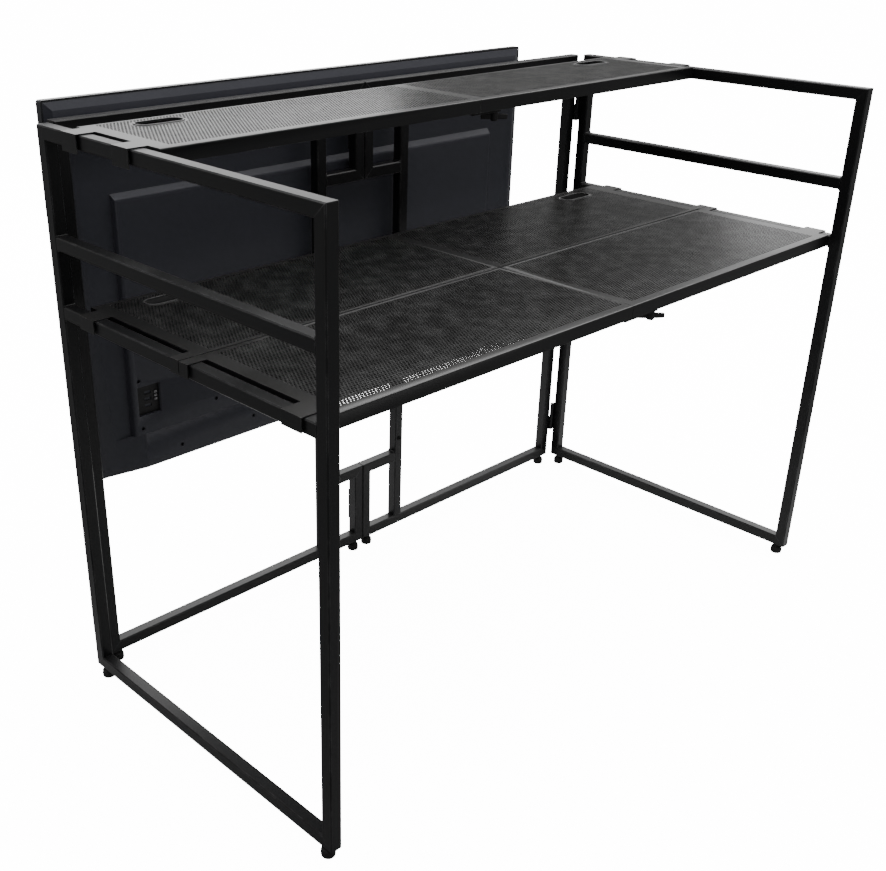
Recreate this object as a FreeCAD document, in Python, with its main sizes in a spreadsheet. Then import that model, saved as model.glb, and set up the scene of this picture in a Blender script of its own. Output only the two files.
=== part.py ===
"""Folding disc-jockey booth: four hinged tube frames, three lift-off trays and a hung flat screen.

Millimetres, +Z up. X runs along the booth's width, +Y points to the audience, and the origin is
on the floor under the middle of the booth.
"""
import FreeCAD
import Part
import os
import re

doc = FreeCAD.newDocument("booth")
sheet = doc.addObject("Spreadsheet::Sheet", "Sizes")

# Driving dimensions
SIZES = {
    # square tube of the frames
    "tube_size": 25, "tube_wall": 1.5, "tube_edge": 2,
    # side frames and front frame
    "booth_width": 1540, "side_depth": 742, "frame_height": 1110,
    "table_rail_drop": 318, "guard_rail_drop": 190,
    "corner_gap_side": 12, "corner_gap_front": 5, "centre_gap": 2,
    "inner_post_offset": 110, "centre_box_height": 206,
    # rubber feet
    "foot_height": 25, "foot_radius": 13.5, "foot_inset": 22,
    # butt hinges at the corners and at the centre
    "leaf_height": 80, "leaf_thickness": 2.5, "barrel_radius": 5, "pin_radius": 2.5,
    "pin_clearance": 0.05, "knuckle_gap": 0.3, "corner_hinge_inset": 80, "leaf_margin": 2,
    "centre_leaf_width": 20, "centre_barrel_radius": 4, "centre_hinge_inset": 60,
    # folded sheet trays
    "sheet_thickness": 2, "tray_lip": 25, "bend_radius": 2.5, "tray_end_gap": 8, "tray_seam": 1,
    "table_front_gap": 2, "table_row_depth": 325, "table_row_gap": 2,
    "shelf_depth": 246, "shelf_setback": 76,
    # straps that hook over the side rails
    "hook_width": 46, "hook_clearance": 3, "table_hook_drop": 25, "shelf_hook_drop": 32,
    "table_hook_inset": 24, "shelf_hook_inset_back": 15, "shelf_hook_inset_front": 33,
    # cable slots
    "slot_length": 92, "slot_width": 34, "slot_offset": 606, "slot_inset": 50,
    # openwork of the trays
    "field_front": 20, "field_back": 9, "field_end": 30, "field_seam": 22, "field_web": 30,
    # seam hinge of a tray
    "seam_lug_size": 8, "seam_pin_radius": 2, "seam_hinge_inset": 100, "seam_hinge_back": 15,
    # latch under a tray's seam
    "table_latch_offset": 78, "shelf_latch_offset": 54, "latch_inset": 12, "far_latch_inset": 30,
    "flange_width": 24, "flange_length": 110, "latch_bar_width": 18, "latch_bar_thickness": 4,
    "latch_overlap": 17, "latch_stud_radius": 4, "latch_clearance": 0.3, "latch_nut_radius": 7.5,
    "latch_nut_height": 5, "knob_hub_radius": 8, "knob_hub_height": 18, "knob_wing_span": 54,
    "knob_wing_height": 11, "knob_wing_thickness": 7, "knob_wing_rise": 3,
    # flat screen
    "screen_width": 1296, "screen_height": 759, "screen_rise": 25, "screen_shift": 73,
    "screen_standoff": 15, "housing_depth": 14, "cover_depth": 10, "panel_depth": 16,
    "bezel_width": 11, "glass_thickness": 8, "bezel_lip": 1.5, "cover_inset": 4, "cover_slope": 22,
    "housing_width": 1066, "housing_height": 498, "housing_rise": 81, "housing_slope": 12,
    "housing_flank": 4, "chin_width": 1230, "chin_slope": 110, "chin_edge": 2,
    "port_width": 54, "port_height": 64, "port_depth": 9, "port_inset": 16, "port_rise": 41,
    "port_plate": 2, "screen_wall": 2.5, "socket_width": 16, "socket_height": 7, "socket_pitch": 14,
    # bracket that hangs the screen on the front frame
    "hang_pitch": 200, "hang_rise": 78, "rail_length": 410, "rail_height": 30,
    "rail_sheet": 2, "rail_channel": 4, "rail_lip": 12, "arm_width": 30, "arm_margin": 15,
    "hook_sheet": 2, "hook_rest": 0.2,
}

for row, (alias, value) in enumerate(SIZES.items(), start=1):
    sheet.set(f"A{row}", alias)
    sheet.set(f"B{row}", str(value))
    sheet.setAlias(f"B{row}", alias)
doc.recompute()

# Places worked out from the driving dimensions
PLACES = {
    "frame_top": "foot_height + frame_height",
    "side_outer": "booth_width / 2",
    "side_inner": "booth_width / 2 - tube_size",
    "total_depth": "side_depth + corner_gap_front + tube_size + screen_standoff + housing_depth"
                   " + cover_depth + panel_depth",
    "rear_face": "-total_depth / 2",
    "side_front_face": "rear_face + side_depth",
    "front_near": "side_front_face + corner_gap_front",
    "front_far": "front_near + tube_size",
    "front_end": "side_inner - corner_gap_side",
    "housing_face": "front_far + screen_standoff",
    "cover_face": "housing_face + housing_depth",
    "rim_face": "cover_face + cover_depth",
    "screen_face": "rim_face + panel_depth",
    "half_seam": "tray_seam / 2",
    "tray_end": "side_inner - tray_end_gap",
    "near_front": "rear_face + tube_size + table_front_gap",
    "far_front": "near_front + table_row_depth + table_row_gap",
    "shelf_front": "side_front_face - shelf_setback - shelf_depth",
    "table_rail_top": "frame_top - table_rail_drop",
    "guard_rail_top": "frame_top - guard_rail_drop",
    "table_top": "table_rail_top + sheet_thickness",
    "shelf_top": "frame_top + sheet_thickness",
    "hinge_x": "front_end + corner_gap_side / 2",
    "hinge_y": "side_front_face + corner_gap_front / 2",
    "screen_bottom": "frame_top + screen_rise - screen_height",
    "housing_bottom": "screen_bottom + housing_rise",
    "port_bottom": "housing_bottom + port_rise",
    "hang_bottom": "housing_bottom + hang_rise",
    "screen_left": "-screen_shift - screen_width / 2",
}


def formula(text):
    """Turn words of SIZES and PLACES into a formula on the sheet's cells."""
    def word(match):
        name = match.group()
        return f"({formula(PLACES[name])})" if name in PLACES else f"Sizes.{name}"
    return re.sub(r"[a-z][a-z_]+", word, str(text))


def bind(obj, **sizes):
    for name, text in sizes.items():
        obj.setExpression(name, formula(text))


def place(obj, low, rotation=None):
    if rotation is not None:
        obj.Placement.Rotation = rotation
    for axis, text in zip("xyz", low):
        obj.setExpression(f"Placement.Base.{axis}", formula(text))


def times(sign, text):
    return f"({sign}) * ({text})"


def span(sign, inner, outer):
    """Low X of a stretch from inner to outer on the left (-1) or right (+1) side."""
    return inner if sign > 0 else f"-({outer})"


def box(name, low, size):
    obj = doc.addObject("Part::Box", name)
    bind(obj, Length=size[0], Width=size[1], Height=size[2])
    place(obj, low)
    return obj


TURNS = {
    "x": FreeCAD.Rotation(FreeCAD.Vector(0, 1, 0), 90),
    "y": FreeCAD.Rotation(FreeCAD.Vector(1, 0, 0), -90),
    "z": FreeCAD.Rotation(),
}


def cylinder(name, foot, radius, length, axis="z"):
    obj = doc.addObject("Part::Cylinder", name)
    bind(obj, Radius=radius, Height=length)
    place(obj, foot, TURNS[axis])
    return obj


def fuse(name, shapes):
    obj = doc.addObject("Part::MultiFuse", name)
    obj.Shapes = shapes
    obj.Refine = True
    return obj


def cut(name, base, tool):
    obj = doc.addObject("Part::Cut", name)
    obj.Base = base
    obj.Tool = tool
    return obj


def cut_all(name, base, tools):
    return cut(name, base, fuse(f"{name}_tools", tools) if len(tools) > 1 else tools[0])


nodes = []


def node(label, obj):
    obj.Label = label
    nodes.append(obj)
    return obj


def group(label, shapes):
    obj = doc.addObject("Part::Compound", label)
    obj.Links = shapes
    return node(label, obj)


# Square tubes: mitred where two frame members meet at a corner, square where one butts on another
VECTORS = {
    "x": FreeCAD.Vector(1, 0, 0), "-x": FreeCAD.Vector(-1, 0, 0),
    "y": FreeCAD.Vector(0, 1, 0), "-y": FreeCAD.Vector(0, -1, 0),
    "z": FreeCAD.Vector(0, 0, 1), "-z": FreeCAD.Vector(0, 0, -1),
}


def long_edges(shape, direction):
    """Numbers of the straight edges of a shape that run along a direction."""
    found = []
    for number, edge in enumerate(shape.Edges, start=1):
        run = edge.Vertexes[-1].Point - edge.Vertexes[0].Point
        if abs(run.dot(direction)) > 0.999 * run.Length:
            found.append(number)
    return found


def ease_edges(kind, name, base, numbers, amount):
    """Fillet or chamfer the numbered edges of an object by one amount."""
    obj = doc.addObject(kind, name)
    obj.Base = base
    obj.Edges = [(number, amount, amount) for number in numbers]
    return obj


def tube(label, low, length, along, inward, mitres):
    """A tube whose low corner is given; it is shortened by its mitres on its inward side."""
    run, shrink = VECTORS[along], VECTORS[inward]
    depth = run.cross(shrink)
    turn = FreeCAD.Rotation(run, shrink, depth, "XYZ")
    corner = list(low)
    wall_corner = list(low)
    for axis in range(3):
        for direction, extent in ((run, length), (shrink, "tube_size"), (depth, "tube_size")):
            if direction[axis] < -0.5:
                corner[axis] = f"({corner[axis]}) + {extent}"
        step = shrink[axis] + depth[axis]
        wall_corner[axis] = f"({corner[axis]}) + ({step:.0f}) * tube_wall"
    outer = doc.addObject("Part::Wedge", f"{label}_outer")
    bind(outer, Xmin=0, Xmax=length, Ymin=0, Ymax="tube_size", Zmin=0, Zmax="tube_size",
         X2min="tube_size" if mitres[0] else 0,
         X2max=f"{length} - tube_size" if mitres[1] else length,
         Z2min=0, Z2max="tube_size")
    place(outer, corner, turn)
    doc.recompute()
    corners = long_edges(outer.Shape, run)
    eased = ease_edges("Part::Chamfer", f"{label}_eased", outer, corners, sheet.tube_edge)
    bore = doc.addObject("Part::Box", f"{label}_bore")
    clear = "tube_size - 2 * tube_wall"
    bind(bore, Length=length, Width=clear, Height=clear)
    place(bore, wall_corner, turn)
    return node(label, cut(label, eased, bore))


# Side frames: two posts, top and bottom rails mitred to them, and two rails between the posts
for side, sign in (("left", -1), ("right", 1)):
    name = f"{side}_side"
    low_x = span(sign, "side_inner", "side_outer")
    for post, low_y, inward in (("rear_post", "rear_face", "y"),
                                ("front_post", "side_front_face - tube_size", "-y")):
        tube(f"{name}_{post}", (low_x, low_y, "foot_height"), "frame_height", "z", inward, (True, True))
    tube(f"{name}_top_rail", (low_x, "rear_face", "frame_top - tube_size"), "side_depth",
         "y", "-z", (True, True))
    tube(f"{name}_bottom_rail", (low_x, "rear_face", "foot_height"), "side_depth",
         "y", "z", (True, True))
    for rail, top in (("table_rail", "table_rail_top"), ("guard_rail", "guard_rail_top")):
        tube(f"{name}_{rail}", (low_x, "rear_face + tube_size", f"{top} - tube_size"),
             "(side_depth - 2 * tube_size)", "y", "-z", (False, False))

# Front frame: two halves that almost meet at the centre, each with an outer post, an inner post
# that carries the screen, and a small box of short tubes at the top and bottom of the centre
for side, sign in (("left", -1), ("right", 1)):
    name = f"front_{side}"
    run = "x" if sign > 0 else "-x"
    back = "-x" if sign > 0 else "x"
    half = "(front_end - centre_gap / 2)"
    low_x = span(sign, "centre_gap / 2", "front_end")
    tube(f"{name}_outer_post",
         (span(sign, "front_end - tube_size", "front_end"), "front_near", "foot_height"),
         "frame_height", "z", back, (True, True))
    tube(f"{name}_top_rail", (low_x, "front_near", "frame_top - tube_size"), half, "x", "-z", (True, True))
    tube(f"{name}_bottom_rail", (low_x, "front_near", "foot_height"), half, "x", "z", (True, True))
    tube(f"{name}_inner_post",
         (span(sign, "inner_post_offset", "inner_post_offset + tube_size"), "front_near",
          "foot_height + tube_size"),
         "(frame_height - 2 * tube_size)", "z", back, (False, False))
    stile_x = span(sign, "centre_gap / 2", "centre_gap / 2 + tube_size")
    short_x = span(sign, "centre_gap / 2", "inner_post_offset")
    short = "(inner_post_offset - centre_gap / 2)"
    for level, low_z, rail_z, inward in (
            ("upper", "frame_top - centre_box_height", "frame_top - centre_box_height", "z"),
            ("lower", "foot_height", "foot_height + centre_box_height - tube_size", "-z")):
        tube(f"{name}_{level}_stile", (stile_x, "front_near", low_z), "centre_box_height", "z", run,
             (True, True))
        tube(f"{name}_{level}_rail", (short_x, "front_near", rail_z), short, "x", inward,
             (sign > 0, sign < 0))

# Feet: thick round rubber pads, one under each end of a bottom rail
feet = []


def foot(name, x, y):
    feet.append(cylinder(name, (x, y, 0), "foot_radius", "foot_height"))


for side, sign in (("left", -1), ("right", 1)):
    middle = times(sign, "side_outer - tube_size / 2")
    foot(f"foot_{side}_rear", middle, "rear_face + foot_inset")
    foot(f"foot_{side}_side_front", middle, "side_front_face - foot_inset")
    foot(f"foot_{side}_front_outer", times(sign, "front_end - foot_inset"), "front_near + tube_size / 2")
    foot(f"foot_{side}_front_inner", times(sign, "centre_gap / 2 + foot_inset"), "front_near + tube_size / 2")
group("feet", feet)

# Butt hinges: each leaf carries one knuckle, the outer leaf the lower and the inner leaf the upper
KNUCKLES = (("low", "0", "outer"), ("high", "leaf_height / 2", "inner"))
KNUCKLE_LENGTH = "(leaf_height / 2 - knuckle_gap)"


def hinge_leaf(name, plate, tongue_low, tongue_size, barrel, radius, owner, bottom):
    """A plate with tongues that run into the knuckles of one leaf."""
    solids = [plate]
    for knuckle, offset, keeper in KNUCKLES:
        if keeper == owner:
            low_z = f"{bottom} + {offset}"
            solids.append(box(f"{name}_{knuckle}_tongue", (*tongue_low, low_z),
                              (*tongue_size, KNUCKLE_LENGTH)))
            solids.append(cylinder(f"{name}_{knuckle}", (*barrel, low_z), radius, KNUCKLE_LENGTH))
    bore = cylinder(f"{name}_bore", (*barrel, bottom), "pin_radius + pin_clearance", "leaf_height")
    return cut(name, fuse(f"{name}_solid", solids), bore)


front_leaves, side_leaves, corner_pins = [], [], []
for side, sign in (("left", -1), ("right", 1)):
    for level, bottom in (("lower", "foot_height + corner_hinge_inset"),
                          ("upper", "frame_top - corner_hinge_inset - leaf_height")):
        name = f"{side}_{level}_corner_hinge"
        barrel = (times(sign, "hinge_x"), "hinge_y")
        front_x = span(sign, "front_end", "front_end + leaf_thickness")
        beside = "hinge_y + barrel_radius + leaf_margin / 4"
        plate = box(f"{name}_front_plate", (front_x, beside, bottom),
                    ("leaf_thickness", f"front_far - leaf_margin - ({beside})", "leaf_height - knuckle_gap"))
        front_leaves.append(hinge_leaf(
            f"{name}_front_leaf", plate, (front_x, "hinge_y"),
            ("leaf_thickness", "barrel_radius + leaf_margin / 4"), barrel, "barrel_radius", "outer", bottom))
        past = "(hinge_x + barrel_radius + leaf_margin / 4)"
        plate = box(f"{name}_side_plate",
                    (span(sign, past, "side_outer - leaf_margin"), "side_front_face", bottom),
                    (f"side_outer - leaf_margin - {past}", "leaf_thickness", "leaf_height - knuckle_gap"))
        side_leaves.append(hinge_leaf(
            f"{name}_side_leaf", plate, (span(sign, "hinge_x", past), "side_front_face"),
            ("barrel_radius + leaf_margin / 4", "leaf_thickness"), barrel, "barrel_radius", "inner", bottom))
        corner_pins.append(cylinder(f"{name}_pin", (*barrel, bottom), "pin_radius", "leaf_height"))
group("corner_hinge_front_leaves", front_leaves)
group("corner_hinge_side_leaves", side_leaves)
group("corner_hinge_pins", corner_pins)

centre_leaves = {"outer": [], "inner": []}
centre_pins = []
for level, bottom in (("lower", "foot_height + centre_hinge_inset"),
                      ("upper", "frame_top - centre_hinge_inset - leaf_height")):
    barrel = ("0", "front_far + centre_barrel_radius")
    beside = "centre_barrel_radius + leaf_margin / 4"
    for owner, sign in (("outer", -1), ("inner", 1)):
        name = f"{level}_centre_hinge_{owner}"
        plate = box(f"{name}_plate",
                    (span(sign, beside, f"{beside} + centre_leaf_width"), "front_far", bottom),
                    ("centre_leaf_width", "leaf_thickness", "leaf_height - knuckle_gap"))
        centre_leaves[owner].append(hinge_leaf(
            f"{name}_leaf", plate, (span(sign, "0", beside), "front_far"), (beside, "leaf_thickness"),
            barrel, "centre_barrel_radius", owner, bottom))
    centre_pins.append(cylinder(f"{level}_centre_pin", (*barrel, bottom), "pin_radius", "leaf_height"))
group("centre_hinge_left_leaves", centre_leaves["outer"])
group("centre_hinge_right_leaves", centre_leaves["inner"])
group("centre_hinge_pins", centre_pins)

# Trays: each half is a pan folded from pierced sheet, open below, with straps that hook over a side rail
def rounded_slot(name, x, y, z, length, width, height):
    """A slot with round ends along X, centred on x and y."""
    solids = [box(f"{name}_middle", (f"{x} - ({length} - {width}) / 2", f"{y} - ({width}) / 2", z),
                  (f"{length} - ({width})", width, height))]
    for end, sign in (("left", -1), ("right", 1)):
        solids.append(cylinder(f"{name}_{end}", (f"{x} + ({sign}) * ({length} - ({width})) / 2", y, z),
                               f"({width}) / 2", height))
    return fuse(name, solids)


def openwork(label, sign, front, depth, top, columns, rows, slotted):
    """Openings in rows over a tray's field; those where a cable slot stands are left out."""
    width = f"((tray_end - field_end - half_seam - field_seam) / {columns})"
    length = f"(({depth} - field_front - field_back) / {rows})"
    found = []
    for column in range(columns):
        low_x = f"(half_seam + field_seam + {column} * {width} + field_web / 2)"
        for row in range(rows):
            if slotted and row == rows - 1 and column >= columns - 2:
                continue
            found.append(box(f"{label}_opening_{column}_{row}",
                             (span(sign, low_x, f"{low_x} + {width} - field_web"),
                              f"{front} + field_front + {row} * {length} + field_web / 2",
                              f"{top} - 2 * sheet_thickness"),
                             (f"{width} - field_web", f"{length} - field_web", "3 * sheet_thickness")))
    return found


def tray_half(label, sign, front, depth, top, rail_top, drop, hooks, rows, slotted, latch_offset,
              latch_inset):
    low_x = span(sign, "half_seam", "tray_end")
    length = "(tray_end - half_seam)"
    bottom = f"{top} - tray_lip"
    outer = box(f"{label}_outer", (low_x, front, bottom), (length, depth, "tray_lip"))
    doc.recompute()
    bends = [number for number in long_edges(outer.Shape, VECTORS["x"])
             if outer.Shape.Edges[number - 1].CenterOfMass.z > outer.Shape.CenterOfMass.z]
    bent = ease_edges("Part::Fillet", f"{label}_bent", outer, bends, sheet.bend_radius)
    inner = box(f"{label}_inner",
                (f"{low_x} + sheet_thickness", f"{front} + sheet_thickness", bottom),
                (f"{length} - 2 * sheet_thickness", f"{depth} - 2 * sheet_thickness",
                 "tray_lip - sheet_thickness"))
    solids = [cut(f"{label}_pan", bent, inner)]
    # hook straps: flat over the rail, then down its outer face
    outer_face = "side_outer + hook_clearance"
    for number, (hook_low, width) in enumerate(hooks):
        strap_in = "(tray_end - bend_radius)"
        solids.append(box(f"{label}_strap_{number}",
                          (span(sign, strap_in, f"{outer_face} + sheet_thickness"), hook_low, rail_top),
                          (f"{outer_face} + sheet_thickness - {strap_in}", width, "sheet_thickness")))
        tab_x = span(sign, outer_face, f"{outer_face} + sheet_thickness")
        solids.append(box(f"{label}_tab_{number}", (tab_x, hook_low, f"{top} - {drop}"),
                          ("sheet_thickness", width, drop)))
    # return flange under the lip, which the latch bears on
    flange = f"{front} + sheet_thickness"
    solids.append(box(f"{label}_flange",
                      (span(sign, "half_seam", "half_seam + flange_length"), flange, bottom),
                      ("flange_length", f"flange_width + {latch_inset} - latch_inset", "sheet_thickness")))
    # one hinge lug under the seam, in front on the left half and behind on the right half
    lug = f"(({depth} - seam_hinge_inset - seam_hinge_back) / 2 - knuckle_gap)"
    lug_low = f"{front} + seam_hinge_inset" if sign < 0 else f"{front} + {depth} - seam_hinge_back - {lug}"
    axis_z = f"{bottom} - seam_lug_size / 2"
    solids.append(box(f"{label}_lug", ("-seam_lug_size / 2", lug_low, f"{bottom} - seam_lug_size"),
                      ("seam_lug_size", lug, "seam_lug_size - knuckle_gap")))
    solids.append(box(f"{label}_lug_web",
                      (span(sign, "half_seam", "seam_lug_size / 2"), lug_low, f"{bottom} - seam_lug_size"),
                      ("seam_lug_size / 2 - half_seam", lug, "seam_lug_size + sheet_thickness")))
    tools = [cylinder(f"{label}_pin_bore", ("0", front, axis_z), "seam_pin_radius + pin_clearance",
                      depth, "y")]
    if sign > 0:
        tools.append(cylinder(f"{label}_stud_hole",
                              (latch_offset, f"{front} + {latch_inset}", f"{bottom} - sheet_thickness"),
                              "latch_stud_radius + pin_clearance", "3 * sheet_thickness"))
    if slotted:
        tools.append(rounded_slot(f"{label}_slot", times(sign, "slot_offset"),
                                  f"{front} + {depth} - slot_inset", f"{top} - 2 * sheet_thickness",
                                  "slot_length", "slot_width", "3 * sheet_thickness"))
    tools.extend(openwork(label, sign, front, depth, top, COLUMNS, rows, slotted))
    return node(label, cut_all(label, fuse(f"{label}_folded", solids), tools))


def latch(name, front, bottom, x, inset):
    """A bar on a stud that turns under the seam, and the wing knob that turns it."""
    y = f"{front} + {inset}"
    bar_low = f"{bottom} - latch_clearance - latch_bar_thickness"
    bar = box(f"{name}_bar_flat", ("-latch_overlap", f"{y} - latch_bar_width / 2", bar_low),
              (f"latch_overlap + {x} + latch_bar_width / 2", "latch_bar_width", "latch_bar_thickness"))
    stud = cylinder(f"{name}_stud", (x, y, bar_low), "latch_stud_radius",
                    "latch_bar_thickness + 2 * latch_clearance + sheet_thickness")
    nut = doc.addObject("Part::Prism", f"{name}_nut")
    nut.Polygon = 6
    bind(nut, Circumradius="latch_nut_radius", Height="latch_nut_height")
    place(nut, (x, y, f"{bottom} + sheet_thickness + latch_clearance"))
    node(f"{name}_bar", fuse(f"{name}_bar_solid", [bar, stud, nut]))
    knob_low = f"{bar_low} - knob_hub_height"
    hub = doc.addObject("Part::Prism", f"{name}_hub")
    hub.Polygon = 8
    bind(hub, Circumradius="knob_hub_radius", Height="knob_hub_height")
    place(hub, (x, y, knob_low))
    wing = box(f"{name}_wing", (f"{x} - knob_wing_span / 2", f"{y} - knob_wing_thickness / 2",
                                f"{knob_low} + knob_wing_rise"),
               ("knob_wing_span", "knob_wing_thickness", "knob_wing_height"))
    node(f"{name}_knob", fuse(f"{name}_knob_solid", [hub, wing]))


COLUMNS = 7
TRAYS = (
    ("table_near", "near_front", "table_row_depth", "table_top", "table_rail_top", "table_hook_drop",
     (("near_front + table_hook_inset", "hook_width"),
      ("near_front + table_row_depth - hook_width / 2", "hook_width / 2")), 3, False,
     "table_latch_offset", "latch_inset"),
    ("table_far", "far_front", "table_row_depth", "table_top", "table_rail_top", "table_hook_drop",
     (("far_front", "hook_width / 2"),
      ("far_front + table_row_depth - table_hook_inset - hook_width", "hook_width")), 2, True,
     "table_latch_offset", "far_latch_inset"),
    ("shelf", "shelf_front", "shelf_depth", "shelf_top", "frame_top", "shelf_hook_drop",
     (("shelf_front + shelf_hook_inset_front", "hook_width"),
      ("shelf_front + shelf_depth - shelf_hook_inset_back - hook_width", "hook_width")), 2, True,
     "shelf_latch_offset", "latch_inset"),
)
for name, front, depth, top, rail_top, drop, hooks, rows, slotted, offset, inset in TRAYS:
    for side, sign in (("left", -1), ("right", 1)):
        tray_half(f"{name}_{side}", sign, front, depth, top, rail_top, drop, hooks, rows, slotted,
                  offset, inset)
    bottom = f"{top} - tray_lip"
    node(f"{name}_hinge_pin",
         cylinder(f"{name}_pin",
                  ("0", f"{front} + seam_hinge_inset", f"{bottom} - seam_lug_size / 2"),
                  "seam_pin_radius", f"{depth} - seam_hinge_inset - seam_hinge_back", "y"))
    latch(f"{name}_latch", front, bottom, offset, inset)

# Bracket: two channel rails across the inner posts, and two arms on the screen that hook into them
rails, arms = [], []
for level in range(2):
    low_x, low_z = "-rail_length / 2", f"hang_bottom + {level} * hang_pitch - rail_height"
    plate = box(f"rail_{level}_plate", (low_x, "front_far", low_z),
                ("rail_length", "rail_sheet", "rail_height"))
    ledge = box(f"rail_{level}_ledge", (low_x, "front_far", low_z),
                ("rail_length", "2 * rail_sheet + rail_channel", "rail_sheet"))
    lip = box(f"rail_{level}_lip", (low_x, "front_far + rail_sheet + rail_channel", low_z),
              ("rail_length", "rail_sheet", "rail_lip"))
    rails.append(fuse(f"rail_{level}", [plate, ledge, lip]))
group("hanger_rails", rails)

for side, sign in (("left", -1), ("right", 1)):
    low_x = f"{times(sign, 'hang_pitch / 2')} - screen_shift - arm_width / 2"
    web = box(f"arm_{side}_web",
              (low_x, "housing_face - hook_sheet", "hang_bottom - rail_height - arm_margin"),
              ("arm_width", "hook_sheet", "hang_pitch + rail_height + 2 * arm_margin"))
    solids = [web]
    for level in range(2):
        leg_y = "front_far + rail_sheet + (rail_channel - hook_sheet) / 2"
        leg_low = f"hang_bottom + {level} * hang_pitch - rail_height + rail_sheet + hook_rest"
        leg_height = "rail_lip + hook_sheet"
        solids.append(box(f"arm_{side}_leg_{level}", (low_x, leg_y, leg_low),
                          ("arm_width", "hook_sheet", leg_height)))
        solids.append(box(f"arm_{side}_tab_{level}", (low_x, leg_y, f"{leg_low} + {leg_height} - hook_sheet"),
                          ("arm_width", f"housing_face - ({leg_y})", "hook_sheet")))
    arms.append(fuse(f"arm_{side}", solids))
group("screen_arms", arms)

# Flat screen: a bezel ring, the panel in it, a sloped back cover and a thicker housing low on its back


def sloped_block(name, low, size, depths, flank, foot_slope, head_slope):
    """A block that widens from its near to its far depth by a flank at each end, a foot and a head."""
    obj = doc.addObject("Part::Wedge", name)
    low_x, low_z = low
    width, height = size
    bind(obj, Xmin=f"{low_x} + {flank}", Xmax=f"{low_x} + {width} - {flank}",
         X2min=low_x, X2max=f"{low_x} + {width}",
         Zmin=f"{low_z} + {foot_slope}", Zmax=f"{low_z} + {height} - {head_slope}",
         Z2min=low_z, Z2max=f"{low_z} + {height}", Ymin=depths[0], Ymax=depths[1])
    return obj


ring = box("bezel_outer", ("screen_left", "rim_face", "screen_bottom"),
           ("screen_width", "panel_depth", "screen_height"))
doc.recompute()
corners = long_edges(ring.Shape, VECTORS["y"])
ring = ease_edges("Part::Fillet", "bezel_rounded", ring, corners, sheet.bezel_width / 2)
opening = box("bezel_opening", ("screen_left + bezel_width", "rim_face", "screen_bottom + bezel_width"),
              ("screen_width - 2 * bezel_width", "panel_depth", "screen_height - 2 * bezel_width"))
node("screen_bezel", cut("bezel", ring, opening))
node("screen_panel",
     box("panel", ("screen_left + bezel_width", "screen_face - bezel_lip - glass_thickness",
                   "screen_bottom + bezel_width"),
         ("screen_width - 2 * bezel_width", "glass_thickness", "screen_height - 2 * bezel_width")))


def sloped_shell(name, low, size, depths, flank, foot_slope, head_slope):
    """A sloped block hollowed from its far side to the wall of the screen's mouldings."""
    outer = sloped_block(f"{name}_outer", low, size, depths, flank, foot_slope, head_slope)
    inner = sloped_block(f"{name}_inner", [f"{place} + screen_wall" for place in low],
                         [f"{length} - 2 * screen_wall" for length in size],
                         (f"{depths[0]} + screen_wall", depths[1]), flank, foot_slope, head_slope)
    return cut(name, outer, inner)


cover = sloped_shell("cover_shell", ("screen_left + cover_inset", "screen_bottom + cover_inset"),
                     ("screen_width - 2 * cover_inset", "screen_height - 2 * cover_inset"),
                     ("cover_face", "rim_face"), "cover_slope", "cover_slope", "cover_slope")
# the chin carries the housing's face down to the lower edge, with long slanted ends
chin = sloped_block("chin", ("-screen_shift - chin_width / 2", "screen_bottom"),
                    ("chin_width", "housing_rise"), ("housing_face", "rim_face"),
                    "chin_slope", "chin_edge", "0")
node("screen_back_cover", fuse("cover", [cover, chin]))
housing_left = "(-screen_shift - housing_width / 2)"
housing = sloped_shell("housing_shell", (housing_left, "housing_bottom"),
                       ("housing_width", "housing_height"), ("housing_face", "cover_face"),
                       "housing_flank", "0", "housing_slope")
port_x = f"{housing_left} + port_inset"
recess = box("port_recess", (port_x, "housing_face", "port_bottom"),
             ("port_width", "port_depth", "port_height"))
pocket = box("port_pocket", (f"{port_x} - screen_wall", "housing_face", "port_bottom - screen_wall"),
             ("port_width + 2 * screen_wall", "port_depth + screen_wall", "port_height + 2 * screen_wall"))
node("screen_housing", cut("housing", fuse("housing_solid", [housing, pocket]), recess))
plate = box("port_plate_sheet", (port_x, "housing_face + port_depth - port_plate", "port_bottom"),
            ("port_width", "port_plate", "port_height"))
sockets = [box(f"port_socket_{number}",
               (f"{port_x} + (port_width - socket_width) / 2", "housing_face + port_depth - port_plate",
                f"port_bottom + port_height / 2 + ({number} - 1) * socket_pitch - socket_height / 2"),
               ("socket_width", "port_plate", "socket_height")) for number in range(3)]
node("screen_port_plate", cut_all("port_plate_cut", plate, sockets))

doc.recompute()
for obj in doc.Objects:
    if {"Invalid", "Error"} & set(obj.State):
        raise RuntimeError(f"{obj.Label}: {obj.State}")
for obj in nodes:
    if obj.Shape.isNull() or not obj.Shape.isValid() or not obj.Shape.Solids:
        raise RuntimeError(f"{obj.Label}: bad shape")

os.makedirs("parts", exist_ok=True)
for obj in nodes:
    obj.Shape.exportStep(f"parts/{obj.Label}.step")
print(len(nodes), "nodes written")
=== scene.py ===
import math
import bmesh
import bpy
from mathutils import Matrix, Vector


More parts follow.
